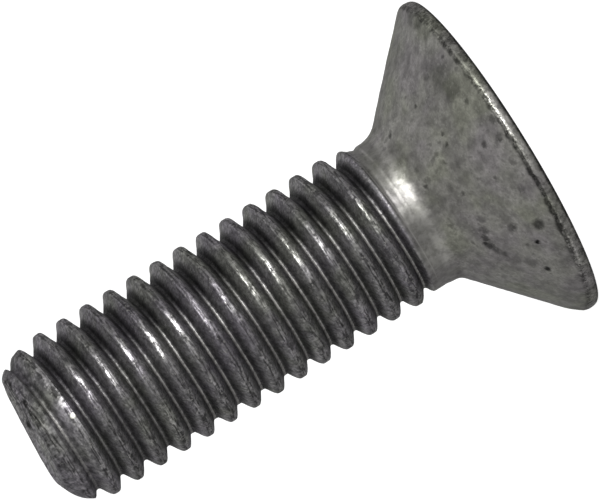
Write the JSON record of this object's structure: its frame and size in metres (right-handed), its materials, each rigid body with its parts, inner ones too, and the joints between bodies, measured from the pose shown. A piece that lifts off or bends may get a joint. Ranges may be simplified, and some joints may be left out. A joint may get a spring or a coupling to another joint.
{
  "type": "countersunk bolt",
  "caption": "Short countersunk bolt: a flat head with a conical underside, a filleted neck and a right-hand thread to a rounded tip.",
  "frame": {"origin": "centre of the head's flat face, on which the bolt stands", "axes": "+Z along the bolt's axis, from the flat of the head to the tip; +X and +Y across it, with two corners of the hexagon socket on X"},
  "size_m": [0.016, 0.016, 0.025],
  "materials": {
    "dull_zinc": "dull grey zinc plating, mottled and finely pitted"
  },
  "bodies": {
    "root": {"bolt": "dull_zinc"}
  },
  "joints": []
}
